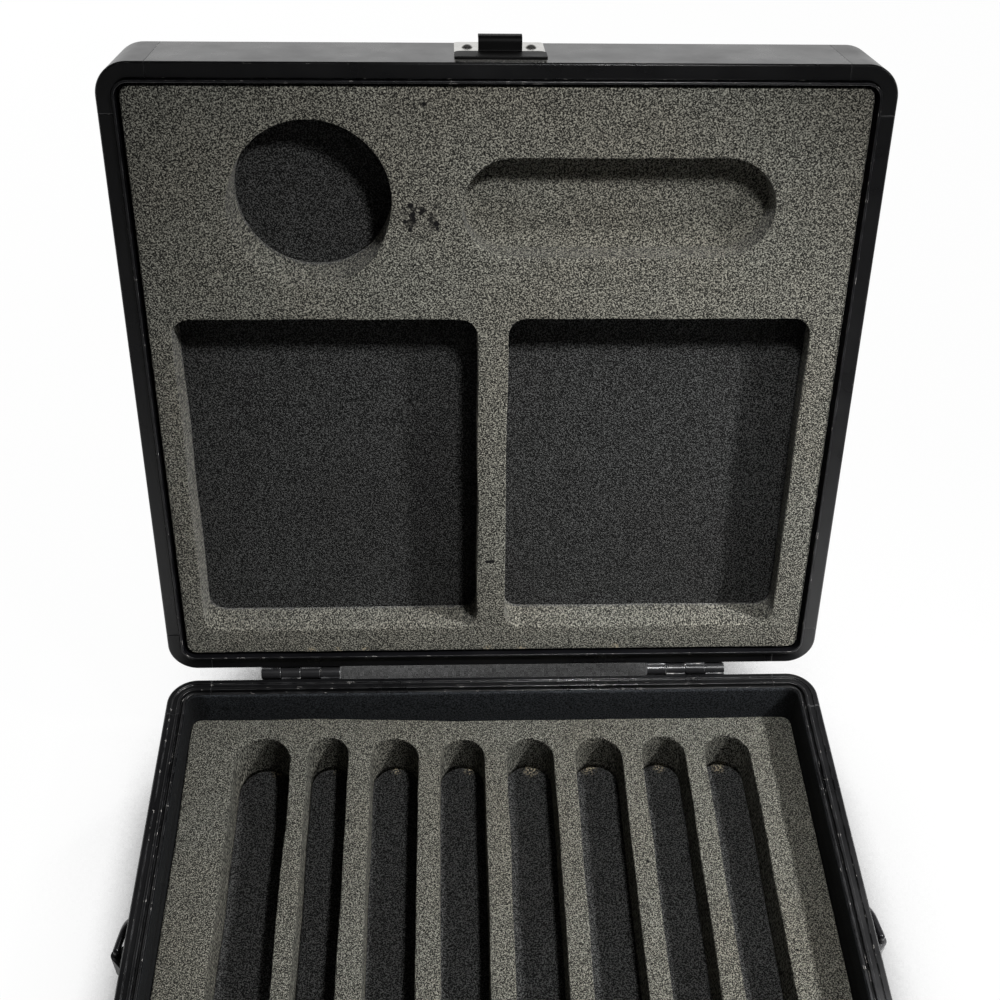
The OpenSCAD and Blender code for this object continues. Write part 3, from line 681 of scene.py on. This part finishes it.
def make_lid_foam():
    edge = CASE_HALF_D - FOAM_IN
    cuts = [foam_edge(1.0 * MM)]
    for i, side in enumerate((-1, 1)):
        center = (TRAY_SHIFT + side * (TRAY_W + TRAY_WEB) / 2, edge - TRAY_MARGIN - TRAY_L / 2)
        outline = rounded_rect(center, TRAY_W, TRAY_L, TRAY_R, STEP)
        undercut = (3 * MM, 0) if side > 0 else (0, 0)
        cuts.append(FoamCut(outline, cut_wave=0.5 * MM, seed=20 + i, undercut=undercut))
    outline = arc(Vector((ROUND_X, edge - ROUND_IN)), ROUND_R, 0, 2 * math.pi, STEP)
    cuts.append(FoamCut(outline, cut_wave=0.4 * MM, seed=30, flare=(-1.5 * MM, 4.2 * MM)))
    outline = stadium((LONG_X, edge - LONG_IN), LONG_L, LONG_W, STEP)
    cuts.append(FoamCut(outline, depth=LONG_H, cut_wave=0.4 * MM, seed=40))
    piece = foam_sheet("lid_foam_sheet", cuts, 0, LID_FOAM_T, PLACE_LID)
    declare_foam(piece, "lid_foam_insert", "lid", LID_FOAM)
    back_t = LID_H - PANEL_FULL_T - LID_FOAM_T
    back = foam_sheet("lid_foam_back", [foam_edge(0.5 * MM)], -LID_FOAM_T, back_t, PLACE_LID)
    declare_foam(back, "lid_foam_backing", "lid", DARK_FOAM)


make_base_foam()
make_lid_foam()


# Lining
def make_lining(name, node, body, height, place, over_rim=0.0):
    """A band of cloth round the inside of a half, a little uneven where it is glued down.

    over_rim is how far its thin edge goes on up the inner face of the rim.
    """
    top = -RIM_HEAD_H - FIT_GAP
    bottom = PANEL_FULL_T + FIT_GAP - height
    rows = max(3, round((top - bottom) / (2.5 * MM)))
    inner_in = RIM_W - FIT_GAP
    outer_in = inner_in - LINING_T
    edge_in = RIM_W + 0.15 * MM
    edge_t = 0.35 * MM
    unevenness = 0.08 * MM
    mesh = bmesh.new()
    rings = []

    def ring(inset, z, pull):
        width = 2 * (CASE_HALF_W - inset)
        depth = 2 * (CASE_HALF_D - inset)
        loop = rounded_rect((0, 0), width, depth, CORNER_R - inset, 3 * MM)
        made = []
        for p, n in zip(loop, normals_of(loop)):
            spot = p + n * (pull + wobble((p.x, p.y, z), 9 * MM, pull, 4))
            made.append(mesh.verts.new((*spot, z)))
        return made

    def surface_in(z):
        """How far in the cloth's face stands: level with the edge at the top, back against the foam below."""
        if not over_rim:
            return inner_in
        share = min(1.0, max(0.0, (top - z) / (top - BASE_FOAM_TOP)))
        return edge_in + edge_t + (inner_in - edge_in - edge_t) * share

    edge_steps = [over_rim * i / 4 for i in range(5)] if over_rim else []
    low = top - (0.3 * MM if over_rim else 0.0)
    for rise in reversed(edge_steps):
        rings.append(ring(edge_in + edge_t, top + rise, unevenness))
    for i in range(rows + 1):
        z = low + (bottom - low) * i / rows
        rings.append(ring(surface_in(z), z, unevenness))
    for i in range(rows + 1):
        rings.append(ring(outer_in, bottom + (low - bottom) * i / rows, 0.0))
    for rise in edge_steps:
        rings.append(ring(edge_in, top + rise, 0.0))
    for a, b in zip(rings, rings[1:] + rings[:1]):
        if len(a) != len(b):
            raise ValueError("the lining's two sides need as many points")
        for k in range(len(a)):
            j = (k + 1) % len(a)
            mesh.faces.new((a[k], a[j], b[j], b[k]))
    bmesh.ops.recalc_face_normals(mesh, faces=mesh.faces)
    piece = finish_mesh(name, mesh, place)
    piece.data.materials.append(FINISHES["lining_cloth"])
    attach(piece, body)
    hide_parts(node)


make_lining("base_lining_cloth", "base_lining", "base", BASE_H, PLACE_BASE, over_rim=8.8 * MM)
make_lining("lid_lining_cloth", "lid_lining", "lid", LID_H, PLACE_LID)


# Floor, light and background
AMBIENT = 0.03


def make_floor():
    """A white floor. It glows for the camera and in reflections behind it, with painted shade: the glow is cut
    back near the case.
    """
    half = 6.0
    data = bpy.data.meshes.new("floor")
    corners = [(-half, -half, 0), (half, -half, 0), (half, half, 0), (-half, half, 0)]
    data.from_pydata(corners, [], [(0, 1, 2, 3)])
    floor = bpy.data.objects.new("floor", data)
    bpy.context.scene.collection.objects.link(floor)
    f = Finish("pale_floor", (0.82, 0.82, 0.82), 0.9)
    f.set("Specular IOR Level", 0.0)
    openness = f.add("ShaderNodeAmbientOcclusion", {"Distance": 0.6}, samples=16).outputs["AO"]
    # Painted shade: the glow fades where the case hides the sky, beside it and in the gap under the lid
    painted_contact_shade = f.ramp(openness, 0.545, 0.66, 0.02, 0.90)
    glow_with_painted_shade = f.math("ADD", painted_contact_shade, f.ramp(openness, 0.64, 0.77, 0, 0.10))
    path = f.add("ShaderNodeLightPath")
    place = f.add("ShaderNodeSeparateXYZ", {"Vector": f.coordinates})
    behind = f.ramp(place.outputs["Y"], 0.2, 0.6, 0.1, 0.9)
    glossy = f.math("MULTIPLY", path.outputs["Is Glossy Ray"], behind)
    share = f.math("MAXIMUM", f.math("MULTIPLY", path.outputs["Is Camera Ray"], 0.98), glossy)
    glow = f.add("ShaderNodeEmission", {"Color": (1, 1, 1, 1), "Strength": glow_with_painted_shade})
    blend = f.add("ShaderNodeMixShader", {"Fac": share})
    f.link(f.shader.outputs["BSDF"], blend.inputs[1])
    f.link(glow.outputs["Emission"], blend.inputs[2])
    f.link(blend.outputs["Shader"], f.tree.nodes["Material Output"].inputs["Surface"])
    data.materials.append(f.material)


def make_world():
    """A dim room with a white backdrop for the camera, and for reflections low behind the case."""
    world = bpy.data.worlds.new("studio")
    world.use_nodes = True
    tree = world.node_tree

    def add(kind, values, **settings):
        made = tree.nodes.new(kind)
        for key, value in settings.items():
            setattr(made, key, value)
        for key, value in values.items():
            if isinstance(value, bpy.types.NodeSocket):
                tree.links.new(value, made.inputs[key])
            else:
                made.inputs[key].default_value = value
        return made

    def ramp(value, low, high, start, end):
        values = {"Value": value, "From Min": low, "From Max": high, "To Min": start, "To Max": end}
        return add("ShaderNodeMapRange", values).outputs["Result"]

    def combine(operation, a, b):
        return add("ShaderNodeMath", {0: a, 1: b}, operation=operation).outputs["Value"]

    direction = tree.nodes.new("ShaderNodeTexCoord").outputs["Generated"]
    parts = add("ShaderNodeSeparateXYZ", {"Vector": direction}).outputs
    behind = ramp(parts["Y"], -0.3, 0.6, 0.07, 1.0)
    low = ramp(parts["Z"], 0.15, 0.6, 1.0, 0.08)
    backdrop = combine("MULTIPLY", behind, low)
    path = tree.nodes.new("ShaderNodeLightPath").outputs
    strength = ramp(path["Is Glossy Ray"], 0.0, 1.0, AMBIENT, backdrop)
    strength = combine("MAXIMUM", strength, path["Is Camera Ray"])
    background = tree.nodes["Background"]
    background.inputs["Color"].default_value = (1, 1, 1, 1)
    tree.links.new(strength, background.inputs["Strength"])
    bpy.context.scene.world = world


def link_lamp(name, data, place, aim):
    lamp = bpy.data.objects.new(name, data)
    lamp.location = place
    lamp.rotation_euler = (-Vector(aim)).to_track_quat("Z", "Y").to_euler()
    bpy.context.scene.collection.objects.link(lamp)
    return lamp


def near_lamp(name, place, aim, half_angle, power):
    """A small shaded lamp close above the case, dimming gently towards the edge of its beam."""
    data = bpy.data.lights.new(name, "SPOT")
    data.energy = power
    data.shadow_soft_size = 0.028
    data.spot_size = 2 * math.radians(half_angle)
    data.spot_blend = 1.0
    link_lamp(name, data, place, aim)


def soft_box(name, place, aim, size, power):
    """A large dim lamp that doesn't show in reflections."""
    data = bpy.data.lights.new(name, "AREA")
    data.shape = "SQUARE"
    data.size = size
    data.energy = power
    link_lamp(name, data, place, aim).visible_glossy = False


make_floor()
make_world()
near_lamp("middle_lamp", (0.106, 0.017, 0.614), (-0.245, 0.011, -0.969), 52, 9.0)
near_lamp("right_lamp", (0.505, -0.001, 0.649), (-0.490, -0.105, -0.865), 40, 28)
soft_box("rear_box", (-0.5, 1.5, 0.75), (0.3, -1.0, -0.4), 0.9, 18)
bpy.context.scene.view_settings.view_transform = "Standard"
